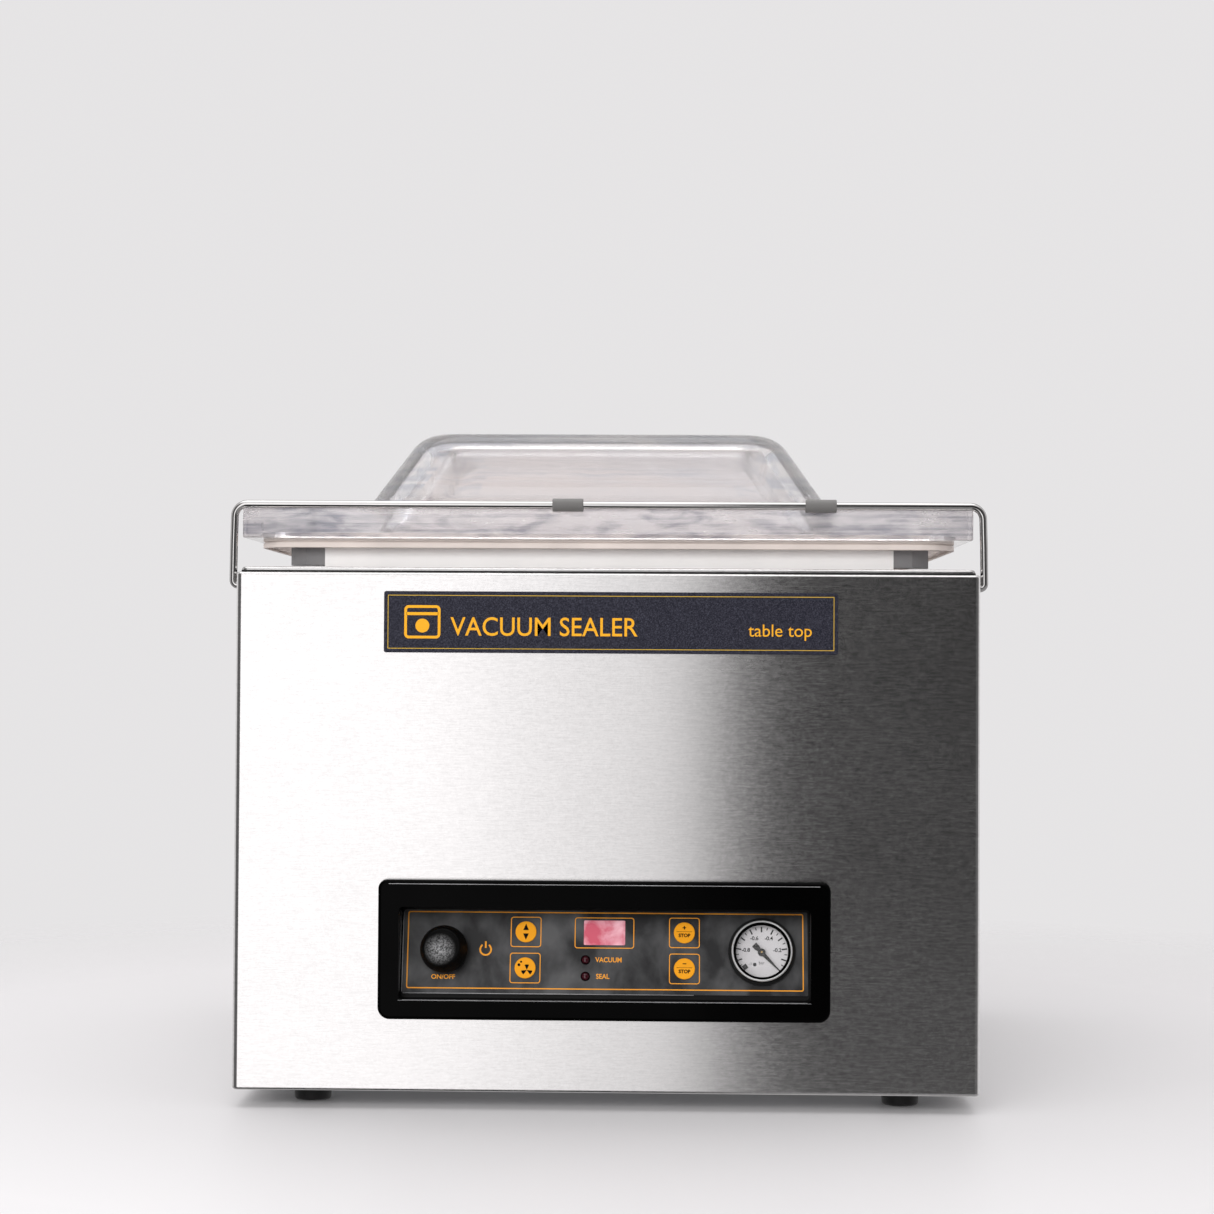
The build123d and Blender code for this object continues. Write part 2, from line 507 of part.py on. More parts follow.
holder = block(-192, 192, BAR_Y - 10, BAR_Y + 10, COUNTER_BOTTOM + 6, LID_Z0)
holder = chamfer(holder.edges().filter_by(Axis.X).group_by(Axis.Z)[0], 1.0)
holder -= block(-193, 193, BAR_Y - 6.2, BAR_Y + 6.2, COUNTER_BOTTOM, COUNTER_BOTTOM + 12)
save("counter_bar", holder)
silicone = block(-191.8, 191.8, BAR_Y - 6.0, BAR_Y + 6.0, COUNTER_BOTTOM, COUNTER_BOTTOM + 12)
save("counter_silicone", fillet(silicone.edges().filter_by(Axis.X).group_by(Axis.Z)[0], 1.5))
clips = []
mouth = rounded(-CHAMBER_X + 1, CHAMBER_X - 1, CHAMBER_Y0 + 1, CHAMBER_Y1, 350, 380, 24)
for side in (-1, 1):
    ends = sorted((side * 192.0, side * 216.5))
    clips.append(block(*ends, BAR_Y - 10, BAR_Y + 10, 360.5, LID_Z0) & mouth)
save("counter_bar_clips", Compound(children=clips))

# ---------------------------------------------------------------- locking bail
path = FilletPolyline(
    (-249.4, (BAIL_Y + BAIL_BAR_Y) / 2, 373), (-248.4, BAIL_BAR_Y, BAIL_BAR_Z),
    (248.4, BAIL_BAR_Y, BAIL_BAR_Z), (249.4, (BAIL_Y + BAIL_BAR_Y) / 2, 373), radius=8.5,
)
wire = sweep(Plane(origin=path @ 0, z_dir=path % 0) * Circle(WIRE_R), path=path)
for side in (-1, 1):
    hook = FilletPolyline((side * 238, BAIL_Y, BAIL_Z), (side * 250.0, BAIL_Y, BAIL_Z),
                          (side * 249.4, (BAIL_Y + BAIL_BAR_Y) / 2, 373), radius=3.2)
    wire += sweep(Plane(origin=hook @ 0, z_dir=hook % 0) * Circle(WIRE_R), path=hook)
save("bail_wire", wire)
sleeves = []
for x in (-26.5, 141.4):
    sleeve = rod(4.35, 20.5, (x - 10.25, BAIL_BAR_Y, BAIL_BAR_Z), (1, 0, 0))
    sleeve = chamfer(sleeve.edges().filter_by(GeomType.CIRCLE), 0.3)
    sleeves.append(sleeve - rod(WIRE_R + 0.02, 24, (x - 12, BAIL_BAR_Y, BAIL_BAR_Z), (1, 0, 0)))
save("bail_sleeves", Compound(children=sleeves))
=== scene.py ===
"""Looks of a table-top vacuum chamber sealer: materials, lid, printed panel, stage, lights and camera."""
import json
import math

import bpy
from mathutils import Matrix, Vector

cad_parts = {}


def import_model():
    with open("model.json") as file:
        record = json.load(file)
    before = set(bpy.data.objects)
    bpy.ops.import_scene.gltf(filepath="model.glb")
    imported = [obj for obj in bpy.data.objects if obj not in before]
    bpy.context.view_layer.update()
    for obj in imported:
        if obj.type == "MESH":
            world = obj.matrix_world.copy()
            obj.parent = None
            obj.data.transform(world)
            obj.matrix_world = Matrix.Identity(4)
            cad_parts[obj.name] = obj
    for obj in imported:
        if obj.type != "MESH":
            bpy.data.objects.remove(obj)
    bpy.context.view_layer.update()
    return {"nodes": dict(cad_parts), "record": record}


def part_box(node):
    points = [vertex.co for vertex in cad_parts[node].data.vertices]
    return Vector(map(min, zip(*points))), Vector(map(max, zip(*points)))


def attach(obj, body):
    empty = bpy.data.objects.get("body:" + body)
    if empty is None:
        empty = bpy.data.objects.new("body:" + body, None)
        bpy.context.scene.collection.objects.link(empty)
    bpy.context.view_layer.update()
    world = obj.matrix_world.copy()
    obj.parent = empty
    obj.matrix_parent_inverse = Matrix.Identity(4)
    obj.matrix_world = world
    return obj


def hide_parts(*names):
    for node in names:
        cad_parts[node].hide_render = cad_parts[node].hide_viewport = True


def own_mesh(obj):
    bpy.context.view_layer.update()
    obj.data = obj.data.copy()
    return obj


MM = 0.001

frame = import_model()
NODES = frame["nodes"]

TILT = math.radians(14.0)
PANEL_UP = Vector((0, math.sin(TILT), math.cos(TILT)))
PANEL_OUT = Vector((0, -math.cos(TILT), math.sin(TILT)))
PANEL_ORIGIN = Vector((-1.3, -244.0, 76.0))
FACE_PANEL = (PANEL_ORIGIN, Vector((1, 0, 0)), PANEL_UP, PANEL_OUT)
KNOB = (-105.5, 27.7)
KNOB_TOP = 22.5
# inner and outer radius of the painted highlight on the knob's face
KNOB_HIGHLIGHT_RADIUS = (1.0, 10.8)
ACRYLIC_IOR = 1.34


def on_face(face, u, v, h):
    """A point on a printed face from its own two directions and height."""
    origin, right, up, out = face
    return origin + right * u + up * v + out * h


# ------------------------------------------------------------------ materials
class Paint:
    """A Principled material and the few nodes that give it grain, colour patterns, painted highlights and
    bump.
    """

    def __init__(self, name, color, rough, metal=0.0, **sockets):
        self.mat = bpy.data.materials.new(name)
        self.mat.use_nodes = True
        self.tree = self.mat.node_tree
        self.shader = self.tree.nodes["Principled BSDF"]
        self.set("Base Color", (*color, 1.0))
        self.set("Roughness", rough)
        self.set("Metallic", metal)
        for socket, value in sockets.items():
            self.set(socket.replace("_", " "), value)

    def set(self, socket, value):
        """A constant on one of the shader's own sockets."""
        self.shader.inputs[socket].default_value = value

    def node(self, kind, **values):
        """A new node with some of its settings."""
        made = self.tree.nodes.new(kind)
        for key, value in values.items():
            setattr(made, key, value)
        return made

    def link(self, source, target):
        self.tree.links.new(source, target)

    def noise(self, size, detail=3.0, stretch=(1, 1, 1), rough=0.5, distortion=0.0):
        """Noise with features about size millimetres across, stretched along some axes."""
        place = self.node("ShaderNodeTexCoord")
        mapping = self.node("ShaderNodeMapping")
        scale = 1000.0 / size
        mapping.inputs["Scale"].default_value = [scale / s for s in stretch]
        noise = self.node("ShaderNodeTexNoise")
        noise.inputs["Scale"].default_value = 1.0
        noise.inputs["Detail"].default_value = detail
        noise.inputs["Roughness"].default_value = rough
        noise.inputs["Distortion"].default_value = distortion
        self.link(place.outputs["Object"], mapping.inputs["Vector"])
        self.link(mapping.outputs["Vector"], noise.inputs["Vector"])
        return noise.outputs["Fac"]

    def spread(self, value, low, high, start=0.3, stop=0.7):
        """A 0 to 1 pattern remapped to run between two values."""
        remap = self.node("ShaderNodeMapRange")
        self.link(value, remap.inputs["Value"])
        for socket, number in (("From Min", start), ("From Max", stop), ("To Min", low), ("To Max", high)):
            remap.inputs[socket].default_value = number
        return remap.outputs["Result"]

    def weigh(self, *parts):
        """Several patterns added up, each with its own share."""
        total = None
        for value, share in parts:
            part = self.node("ShaderNodeMath", operation="MULTIPLY")
            self.link(value, part.inputs[0])
            part.inputs[1].default_value = share
            if total is not None:
                both = self.node("ShaderNodeMath", operation="ADD")
                self.link(total, both.inputs[0])
                self.link(part.outputs[0], both.inputs[1])
                part = both
            total = part.outputs[0]
        return total

    def color_between(self, value, first, second):
        """A pattern that mixes two colours into the base colour."""
        mix = self.node("ShaderNodeMix", data_type="RGBA")
        self.link(value, mix.inputs[0])
        mix.inputs[6].default_value = (*first, 1.0)
        mix.inputs[7].default_value = (*second, 1.0)
        self.link(mix.outputs[2], self.shader.inputs["Base Color"])

    def roughness(self, value, low, high, start=0.3, stop=0.7):
        """A pattern that varies the roughness between two values."""
        self.link(self.spread(value, low, high, start, stop), self.shader.inputs["Roughness"])

    def bump(self, value, depth, strength=1.0):
        """Raised detail of a real depth in millimetres."""
        bump = self.node("ShaderNodeBump")
        bump.inputs["Strength"].default_value = strength
        bump.inputs["Distance"].default_value = depth * MM
        self.link(value, bump.inputs["Height"])
        self.link(bump.outputs["Normal"], self.shader.inputs["Normal"])


def brushed_steel(name, color, rough, anisotropy, stretch, grain=0.35, depth=0.002, contrast=0.86, **sockets):
    """Sheet steel with fine brushed lines along the stretched axes, fine speckle and faint cloudy patches."""
    paint = Paint(name, color, rough, metal=1.0, Anisotropic=anisotropy, Anisotropic_Rotation=0.25, **sockets)
    lines = paint.noise(grain, detail=4.0, stretch=stretch, rough=0.7)
    speckle = paint.noise(grain * 2.2, detail=2.0, stretch=[max(s / 8, 1) for s in stretch], rough=0.8)
    clouds = paint.noise(90, detail=3.0)
    both = paint.weigh((lines, 0.5), (speckle, 0.35), (clouds, 0.15))
    dark = tuple(c * contrast for c in color)
    light = tuple(min(c * (2 - contrast) * 0.97, 1.0) for c in color)
    paint.color_between(paint.spread(both, 0.0, 1.0, 0.38, 0.62), dark, light)
    paint.roughness(both, rough * 0.88, rough * 1.14, 0.38, 0.62)
    paint.bump(lines, depth)
    return paint.mat


def moulded(name, color, rough, grain=0.6, depth=0.02, shade=0.8, **sockets):
    """Moulded plastic or rubber with a fine grained skin."""
    paint = Paint(name, color, rough, **sockets)
    skin = paint.noise(grain, detail=3.0, rough=0.6)
    cloud = paint.noise(35, detail=4.0)
    paint.color_between(paint.spread(cloud, 0.0, 1.0), tuple(c * shade for c in color), color)
    paint.roughness(skin, rough * 0.85, min(rough * 1.15, 1.0))
    paint.bump(skin, depth)
    return paint.mat


def painted(name, color, rough, grain=1.2, depth=0.02):
    """Powder-coated or enamelled metal with orange-peel skin."""
    paint = Paint(name, color, rough, Coat_Weight=0.3, Coat_Roughness=0.2)
    peel = paint.noise(grain, detail=2.0)
    dust = paint.noise(22, detail=5.0, rough=0.65)
    paint.color_between(paint.spread(dust, 0.0, 1.0), color, tuple(c * 1.25 + 0.01 for c in color))
    paint.roughness(peel, rough * 0.9, rough * 1.2)
    paint.bump(peel, depth)
    return paint.mat


def cast(name, color, rough):
    """Sand-cast or die-cast alloy with a grainy skin."""
    paint = Paint(name, color, rough, metal=0.9)
    sand = paint.noise(1.4, detail=5.0, rough=0.7)
    stain = paint.noise(30, detail=4.0)
    paint.color_between(paint.spread(stain, 0.0, 1.0), tuple(c * 0.8 for c in color), color)
    paint.roughness(sand, rough * 0.8, rough * 1.2)
    paint.bump(sand, 0.08)
    return paint.mat


def clear_plastic():
    """Thick clear acrylic with a very faint warm tint and fine handling haze."""
    paint = Paint("clear_acrylic", (0.88, 0.85, 0.845), 0.01, Transmission_Weight=1.0, IOR=ACRYLIC_IOR,
                  Alpha=0.84)
    haze = paint.noise(25, detail=5.0, rough=0.7)
    paint.roughness(haze, 0.0, 0.02, 0.45, 0.85)
    strain = paint.noise(40, detail=2.0, stretch=(4, 4, 1), distortion=0.6)
    paint.color_between(paint.spread(strain, 0.0, 1.0, 0.4, 0.6), (0.885, 0.865, 0.875), (0.93, 0.885, 0.875))
    ripple = paint.noise(24, detail=2.0)
    paint.bump(ripple, 0.16, 0.6)
    return paint.mat


def bent_acrylic():
    """The lid's moulded bends: clear, with pale and dark blue-grey streaks of painted reflection and
    refraction, and ripples.
    """
    paint = Paint("acrylic_bend", (0.9, 0.88, 0.9), 0.01, Transmission_Weight=1.0, IOR=ACRYLIC_IOR, Alpha=0.9)
    streak = paint.noise(6, detail=2.0, stretch=(12, 12, 1), distortion=0.2)
    # painted reflection: dark blue-grey and pale streaks along the bends
    paint.color_between(paint.spread(streak, 0.0, 1.0, 0.4, 0.56), (0.6, 0.63, 0.7), (1.0, 0.975, 0.97))
    paint.roughness(streak, 0.0, 0.03)
    ripple = paint.noise(12, detail=1.0, stretch=(8, 8, 1))
    paint.bump(ripple, 0.12)
    return paint.mat


def sawn_acrylic():
    """The lid's machined outer edges: clear inside, with tool lines and grey smears along them."""
    paint = Paint("acrylic_edge", (0.86, 0.84, 0.85), 0.22, Transmission_Weight=0.8, IOR=1.3)
    tool = paint.noise(2.4, detail=3.0, stretch=(60, 60, 1), rough=0.7)
    smear = paint.noise(9, detail=4.0, stretch=(3.5, 3.5, 1), rough=0.6, distortion=0.5)
    both = paint.weigh((tool, 0.4), (smear, 0.6))
    paint.color_between(paint.spread(both, 0.0, 1.0, 0.38, 0.54), (0.27, 0.27, 0.32), (0.84, 0.8, 0.81))
    paint.roughness(both, 0.12, 0.3, 0.35, 0.65)
    paint.bump(tool, 0.01)
    return paint.mat


def knob_with_painted_highlight():
    """Pebbled black button with a painted highlight, paler a little below the middle of its face."""
    paint = Paint("knob_skin", (0.002, 0.002, 0.002), 0.42, Specular_IOR_Level=0.12)
    pebble = paint.noise(1.1, detail=2.0, rough=0.8)
    # painted highlight: a paler pebbled patch a little below the middle of the knob's top face
    place = paint.node("ShaderNodeTexCoord")
    away = paint.node("ShaderNodeVectorMath", operation="DISTANCE")
    paint.link(place.outputs["Object"], away.inputs[0])
    away.inputs[1].default_value = on_face(FACE_PANEL, KNOB[0] - 1.6, KNOB[1] - 2.0, KNOB_TOP) * MM
    knob_highlight = paint.spread(away.outputs["Value"], 1.0, 0.0, *(radius * MM for radius in KNOB_HIGHLIGHT_RADIUS))
    patch = paint.node("ShaderNodeMath", operation="MULTIPLY")
    paint.link(knob_highlight, patch.inputs[0])
    paint.link(paint.spread(pebble, 0.15, 1.0, 0.4, 0.6), patch.inputs[1])
    paint.color_between(patch.outputs[0], (0.0015, 0.0015, 0.0015), (0.33, 0.33, 0.335))
    paint.roughness(pebble, 0.35, 0.55)
    paint.bump(pebble, 0.1)
    return paint.mat


def window_glass():
    """The gauge's flat glass, with a trace of dust."""
    paint = Paint("clear_glass", (1, 1, 1), 0.02, Alpha=0.04)
    paint.roughness(paint.noise(6, detail=4.0), 0.01, 0.06)
    return paint.mat


def label_film():
    """Dark printed film, slightly wavy, with cloudy reflections painted into its colour as paler patches."""
    paint = Paint("dark_label", (0.055, 0.055, 0.056), 0.32, Specular_IOR_Level=0.35)
    waves = paint.noise(16, detail=2.0, stretch=(1, 1, 1.8), distortion=0.2)
    grain = paint.noise(0.8, detail=3.0)
    # painted reflection: paler cloudy patches in the film's colour
    cloud = paint.noise(22, detail=5.0, stretch=(1, 1, 1.5), distortion=0.25)
    patch = paint.spread(cloud, 0.0, 1.0, 0.38, 0.68)
    paint.color_between(patch, (0.018, 0.018, 0.019), (0.095, 0.095, 0.097))
    paint.roughness(grain, 0.28, 0.42)
    paint.bump(waves, 0.35, 0.7)
    return paint.mat


def display_film():
    """Red filter with a cloudy pink sheen painted into its colour."""
    paint = Paint("red_window", (0.42, 0.03, 0.07), 0.18, Coat_Weight=0.6, Coat_Roughness=0.1)
    cloud = paint.noise(13, detail=5.0, distortion=0.4)
    # painted sheen: pale pink clouds mixed into the red colour
    paint.color_between(paint.spread(cloud, 0.0, 1.0, 0.36, 0.62), (0.66, 0.07, 0.13), (0.95, 0.48, 0.56))
    paint.roughness(cloud, 0.12, 0.3)
    paint.bump(paint.noise(1.2, detail=3.0), 0.02)
    return paint.mat


def flake_plate():
    """Dark plate with a fine metallic sparkle."""
    paint = Paint("graphite_plate", (0.04, 0.04, 0.06), 0.4, Specular_IOR_Level=0.1)
    sparkle = paint.noise(0.6, detail=2.0, rough=0.9)
    flakes = paint.spread(sparkle, 0.0, 1.0, 0.45, 0.7)
    paint.color_between(flakes, (0.014, 0.014, 0.022), (0.075, 0.075, 0.1))
    paint.roughness(sparkle, 0.3, 0.5)
    paint.bump(sparkle, 0.02)
    return paint.mat


FRONT_GRAIN = (10, 10, 1)
# specular tints that paint shade onto the grazing edges of the bail wire and the gauge's chrome rim
RIM_SHADE_TINT = (0.02, 0.02, 0.02, 1.0)
RING_SHADE_TINT = (0.03, 0.03, 0.03, 1.0)
MATERIALS = {
    "brushed_stainless": brushed_steel("brushed_stainless", (0.8, 0.79, 0.785), 0.17, 1.0, FRONT_GRAIN, 1.0,
                                       0.0006, 0.88),
    "satin_stainless": brushed_steel("satin_stainless", (0.68, 0.675, 0.67), 0.24, 0.4, (40, 1, 40)),
    "galvanised": cast("galvanised", (0.55, 0.56, 0.57), 0.45),
    "screw_steel": brushed_steel("screw_steel", (0.6, 0.6, 0.6), 0.25, 0.0, (1, 1, 1), 0.5),
    "spring_steel": brushed_steel("spring_steel", (0.5, 0.5, 0.5), 0.3, 0.0, (1, 1, 1), 0.4),
    "bail_steel": brushed_steel("bail_steel", (0.7, 0.69, 0.68), 0.1, 0.0, (6, 1, 1), 0.6, 0.001, 0.94,
                                Specular_Tint=RIM_SHADE_TINT),
    "heater_wire": brushed_steel("heater_wire", (0.42, 0.4, 0.38), 0.4, 0.0, (30, 1, 1)),
    "lamination_steel": brushed_steel("lamination_steel", (0.2, 0.2, 0.21), 0.5, 0.0, (30, 30, 1), 0.7, 0.1),
    "black_rubber": moulded("black_rubber", (0.012, 0.012, 0.012), 0.62, 0.8, 0.03),
    "beige_rubber": moulded("beige_rubber", (0.82, 0.73, 0.68), 0.55, 0.9, 0.03, 0.85),
    "white_rubber": moulded("white_rubber", (0.82, 0.8, 0.77), 0.5, 0.9, 0.02, 0.93),
    "white_plastic": moulded("white_plastic", (0.97, 0.95, 0.94), 0.38, 0.8, 0.01, 0.95),
    "grey_plastic": moulded("grey_plastic", (0.24, 0.235, 0.24), 0.55, 0.7, 0.02),
    "grey_sleeve": moulded("grey_sleeve", (0.17, 0.165, 0.16), 0.45, 0.5, 0.03),
    "graphite_plate": flake_plate(),
    "gloss_black": moulded("gloss_black", (0.001, 0.001, 0.001), 0.09, 14.0, 0.01, 0.6,
                           Specular_IOR_Level=0.03),
    "black_plastic": moulded("black_plastic", (0.003, 0.003, 0.003), 0.42, 0.55, 0.12,
                             Specular_IOR_Level=0.3),
    # painted highlight: pale grey for the thin bright lines along the bezel's edges and the film's cut edges
    "highlight_paint": moulded("highlight_paint", (0.42, 0.42, 0.43), 0.28, 0.7, 0.01, 0.6,
                             Specular_IOR_Level=1.0),
    "knob_skin": knob_with_painted_highlight(),
    "dark_label": label_film(),
    "red_window": display_film(),
    "red_led": moulded("red_led", (0.05, 0.002, 0.008), 0.12, 1.5, 0.02, 0.6, Coat_Weight=0.6),
    "circuit_board": moulded("circuit_board", (0.02, 0.13, 0.05), 0.35, 2.5, 0.03),
    "component_black": moulded("component_black", (0.025, 0.025, 0.025), 0.5, 0.6, 0.02),
    "amber_key": moulded("amber_key", (0.93, 0.38, 0.012), 0.4, 0.6, 0.015, 0.94, Specular_IOR_Level=0.25),
    "chrome_ring": moulded("chrome_ring", (0.85, 0.85, 0.85), 0.12, 1.5, 0.0005, 0.97, Metallic=0.6,
                           Specular_Tint=RING_SHADE_TINT),
    "white_dial": moulded("white_dial", (0.72, 0.7, 0.715), 0.35, 0.7, 0.005, 0.94),
    "black_needle": moulded("black_needle", (0.002, 0.002, 0.002), 0.5, 0.5, 0.004, Specular_IOR_Level=0.1),
    "clear_glass": window_glass(),
    "blue_tube": moulded("blue_tube", (0.04, 0.13, 0.48), 0.3, 2.0, 0.01),
    "cast_housing": cast("cast_housing", (0.35, 0.37, 0.4), 0.5),
    "motor_paint": painted("motor_paint", (0.06, 0.13, 0.26), 0.4),
    "fan_plastic": moulded("fan_plastic", (0.02, 0.02, 0.02), 0.45, 0.7, 0.02),
    "filter_paint": painted("filter_paint", (0.05, 0.05, 0.055), 0.45),
    "alloy": brushed_steel("alloy", (0.74, 0.74, 0.75), 0.35, 0.0, (30, 1, 1)),
    "clear_hose": moulded("clear_hose", (0.75, 0.75, 0.72), 0.3, 2.0, 0.01, 0.9),
    "copper_winding": moulded("copper_winding", (0.5, 0.33, 0.06), 0.4, 3.0, 0.1),
    "brown_tape": moulded("brown_tape", (0.3, 0.17, 0.08), 0.42, 0.6, 0.05),
    "clear_acrylic": clear_plastic(),
    "acrylic_edge": sawn_acrylic(),
    "acrylic_bend": bent_acrylic(),
}
INK_AMBER = moulded("amber_ink", (0.98, 0.4, 0.04), 0.45, 0.5, 0.004, 0.95, Specular_IOR_Level=0.15)
INK_BLACK = moulded("black_ink", (0.004, 0.004, 0.005), 0.5, 0.5, 0.004, Specular_IOR_Level=0.1)
INK_YELLOW = moulded("yellow_ink", (0.9, 0.43, 0.03), 0.5, 0.5, 0.004, 0.97, Specular_IOR_Level=0.05)
INK_PALE = moulded("pale_amber_ink", (0.62, 0.4, 0.06), 0.5, 0.5, 0.004, 0.95, Specular_IOR_Level=0.05)
BRASS = brushed_steel("brass_pin", (0.85, 0.6, 0.25), 0.25, 0.0, (1, 1, 1), 0.2)

SLOT_OF = {part["node"]: part["material_slot"] for part in frame["record"]["subparts"]}
for node, obj in NODES.items():
    obj.data.materials.clear()
    obj.data.materials.append(MATERIALS[SLOT_OF[node]])


# ------------------------------------------------------------------ mesh helpers
def mesh_piece(name, verts, faces, material, body, smooth=True):
    """A mesh in millimetres as a piece that rides on a body."""
    mesh = bpy.data.meshes.new(name)
    mesh.from_pydata([tuple(c * MM for c in v) for v in verts], [], faces)
    mesh.validate()
    mesh.update()
    for polygon in mesh.polygons:
        polygon.use_smooth = smooth
    obj = bpy.data.objects.new(name, mesh)
    bpy.context.scene.collection.objects.link(obj)
    mesh.materials.append(material)
    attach(obj, body)
    return obj


def skin(rows, count, ring=False):
    """Faces between rows of points, capped at both ends or with the last row joined to the first."""
    faces = []
    for row in range(rows if ring else rows - 1):
        below, above = row * count, (row + 1) % rows * count
        for i in range(count):
            j = (i + 1) % count
            faces.append((below + i, below + j, above + j, above + i))
    if not ring:
        faces.append(tuple(range(count))[::-1])
        faces.append(tuple(range((rows - 1) * count, rows * count)))
    return faces


def disc(cx, cy, r, count=48):
    """Points around a circle."""
    turns = [math.tau * i / count for i in range(count)]
    return [(cx + r * math.cos(turn), cy + r * math.sin(turn)) for turn in turns]


def rounded_loop(cx, cy, half_w, half_d, r, arc=14, side=10):
    """Points around a rounded rectangle, the same count whatever its size."""
    r = min(r, half_w, half_d)
    points = []
    corners = [(1, 1, 0), (-1, 1, 90), (-1, -1, 180), (1, -1, 270)]
    for index, (sx, sy, start) in enumerate(corners):
        x0 = cx + sx * (half_w - r)
        y0 = cy + sy * (half_d - r)
        for step in range(arc + 1):
            angle = math.radians(start + 90 * step / arc)
            points.append((x0 + r * math.cos(angle), y0 + r * math.sin(angle)))
        nx, ny, start = corners[(index + 1) % 4]
        end_x = cx + nx * (half_w - r) + r * math.cos(math.radians(start))
        end_y = cy + ny * (half_d - r) + r * math.sin(math.radians(start))
        last_x, last_y = points[-1]
        for step in range(1, side):
            t = step / side
            points.append((last_x + (end_x - last_x) * t, last_y + (end_y - last_y) * t))
    return points


def loft(name, loops, material, body, ring=False):
    """A skin through level loops of equal length, capped at both ends or closed into a ring."""
    verts = [(x, y, z) for points, z in loops for x, y in points]
    return mesh_piece(name, verts, skin(len(loops), len(loops[0][0]), ring), material, body)


def lathe(name, profile, centre, material, body, count=96, ring=False):
    """A turned shape standing on the leaning panel, from a profile of radius and height."""
    verts = [on_face(FACE_PANEL, u, v, h) for r, h in profile for u, v in disc(*centre, r, count)]
    return mesh_piece(name, verts, skin(len(profile), count, ring), material, body)


# ------------------------------------------------------------------ clear lid
FLANGE_THICK = 22.0
FLANGE_MIDDLE = -14.0
FLANGE_CORNER = 6
EDGE_ROUND = 1.2
DOME_CENTRE = (-8.4, -14.5)
DOME_HALF = (161.0, 194.0)
DOME_WALL = 11.0
DOME_CORNER = 36.0
DOME_LEAN = 36.0
SMALLEST_CORNER = 9.0
ROOF_BEND = 26.0
CAVITY_BEND = 15.0
CAVITY_FOOT = 8.0
MOUTH_ROUND = 5.0
GASKET_GAP = 0.4
GASKET_CORNER = 24.4
# how far in from the gasket's outside, and how deep, each point of its groove lies
GROOVE = ((10.05, 0.0), (9.55, 0.0), (9.8, 4.1), (0.0, 4.1), (0.25, 0.0), (-0.25, 0.0))
# how far out from the dome's foot, and how high above the flange, its cove runs
COVE = ((3.4, 0.0), (2.6, 0.0), (1.2, 0.5), (0.3, 1.6))


def dome_rise(z_low, z_high, roof):
    """A dome wall from its foot to the middle of its ceiling, as steps of inset and height."""
    height = z_high - z_low
    lean = math.atan2(DOME_LEAN, height)
    turn = DOME_LEAN * (1 - roof / height) + roof / math.cos(lean)
    first = turn - roof * math.cos(lean)
    bend_low = roof * math.sin(lean) - roof + height
    rise = [(first * step / 9, z_low + bend_low * step / 9) for step in range(9)]
    for step in range(13):
        angle = lean + (math.pi / 2 - lean) * step / 12
        rise.append((turn - roof * math.cos(angle), z_high - roof + roof * math.sin(angle)))
    return rise + [(turn + flat, z_high) for flat in (5.0, 14.0, 40.0)], first


def middle_and_half(low, high):
    """The middle and half the size of a box, seen from above."""
    return ((low.x + high.x) / 2, (low.y + high.y) / 2), ((high.x - low.x) / 2, (high.y - low.y) / 2)


def lid_loops():
    """The lid's skin from the middle of its ceiling, under the flange, and over to the top of the dome."""
    low, high = (Vector(corner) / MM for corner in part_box("lid_cover"))
    bottom = low.z
    flange_top = bottom + FLANGE_THICK
    flange, flange_half = middle_and_half(low, high)
    loops = []

    def add(centre, half, inset, r, z):
        loops.append((rounded_loop(*centre, half[0] - inset, half[1] - inset, r), z))

    def add_dome(inset, z, corner, out=0.0):
        add(DOME_CENTRE, DOME_HALF, inset - out, max(corner + out, SMALLEST_CORNER), z)

    cavity, bent = dome_rise(bottom + CAVITY_FOOT, high.z - DOME_WALL, CAVITY_BEND)
    for inset, z in reversed(cavity):
        add_dome(inset + DOME_WALL, z, DOME_CORNER - DOME_WALL - max(inset - bent, 0.0))
    for step in range(1, 7):
        angle = math.radians(90 * step / 6)
        out = MOUTH_ROUND * (1 - math.cos(angle))
        z = bottom + MOUTH_ROUND - MOUTH_ROUND * math.sin(angle)
        add_dome(DOME_WALL, z, DOME_CORNER - DOME_WALL, out)
    gasket_low, gasket_high = (Vector(corner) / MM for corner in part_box("lid_gasket"))
    gasket, gasket_half = middle_and_half(gasket_low, gasket_high)
    for inset, deep in GROOVE:
        add(gasket, gasket_half, inset - GASKET_GAP, GASKET_CORNER - inset, bottom + deep)
    add(flange, flange_half, EDGE_ROUND + 1.0, FLANGE_CORNER - 1, bottom)
    for step in range(5):
        angle = math.radians(90 * step / 4)
        z = bottom + EDGE_ROUND - EDGE_ROUND * math.cos(angle)
        add(flange, flange_half, EDGE_ROUND * (1 - math.sin(angle)), FLANGE_CORNER, z)
    for step in range(5):
        angle = math.radians(90 * step / 4)
        z = flange_top - EDGE_ROUND + EDGE_ROUND * math.sin(angle)
        add(flange, flange_half, EDGE_ROUND * (1 - math.cos(angle)), FLANGE_CORNER, z)
    add(flange, flange_half, EDGE_ROUND + 1.0, FLANGE_CORNER - 1, flange_top)
    outside, bent = dome_rise(flange_top, high.z, ROOF_BEND)
    for out, rise in COVE:
        add_dome(0.0, flange_top + rise, DOME_CORNER, out)
    for inset, z in outside[1:]:
        add_dome(inset, z, DOME_CORNER - max(inset - bent, 0.0))
    return loops


